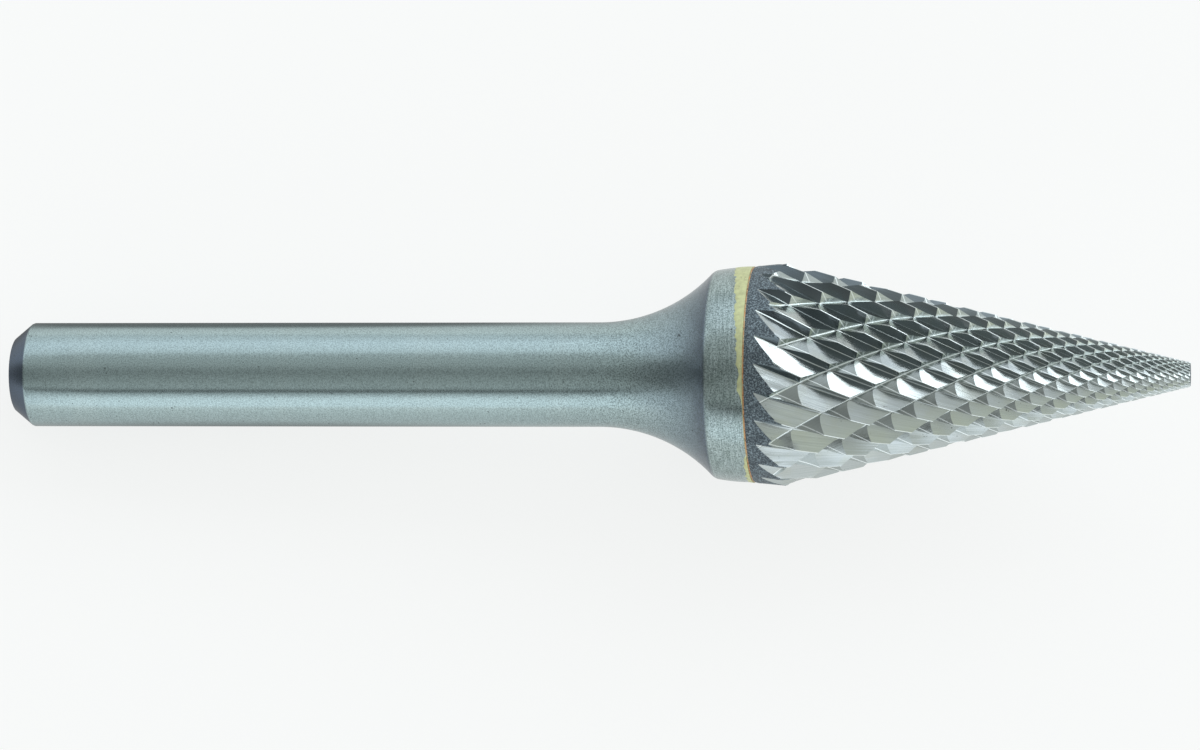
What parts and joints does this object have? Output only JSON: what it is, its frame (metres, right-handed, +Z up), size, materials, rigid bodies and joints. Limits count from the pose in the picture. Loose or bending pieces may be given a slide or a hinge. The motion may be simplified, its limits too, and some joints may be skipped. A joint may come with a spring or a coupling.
{
  "type": "carbide burr",
  "caption": "Rotary burr with a pointed-cone double-cut carbide head brazed to a round steel shank that flares out to a collar.",
  "frame": {"origin": "middle of the base of the bounding box, on the surface on which the burr lies", "axes": "+X from the shank's rear end towards the tip, +Z up; the tool's own axis lies in the XZ plane and climbs 4.36 degrees towards the tip"},
  "size_m": [0.068, 0.0126, 0.0126],
  "materials": {
    "shank_steel": "fine ground tool steel with light heat tint at the collar",
    "braze_filler": "pale yellow silver braze, as frozen",
    "copper": "thin copper shim edge",
    "carbide": "ground tungsten carbide teeth on a dark sintered blank"
  },
  "bodies": {
    "root": {"shank": "shank_steel", "braze_filler": "braze_filler", "copper_shim": "copper", "cutting_head": "carbide"}
  },
  "joints": []
}
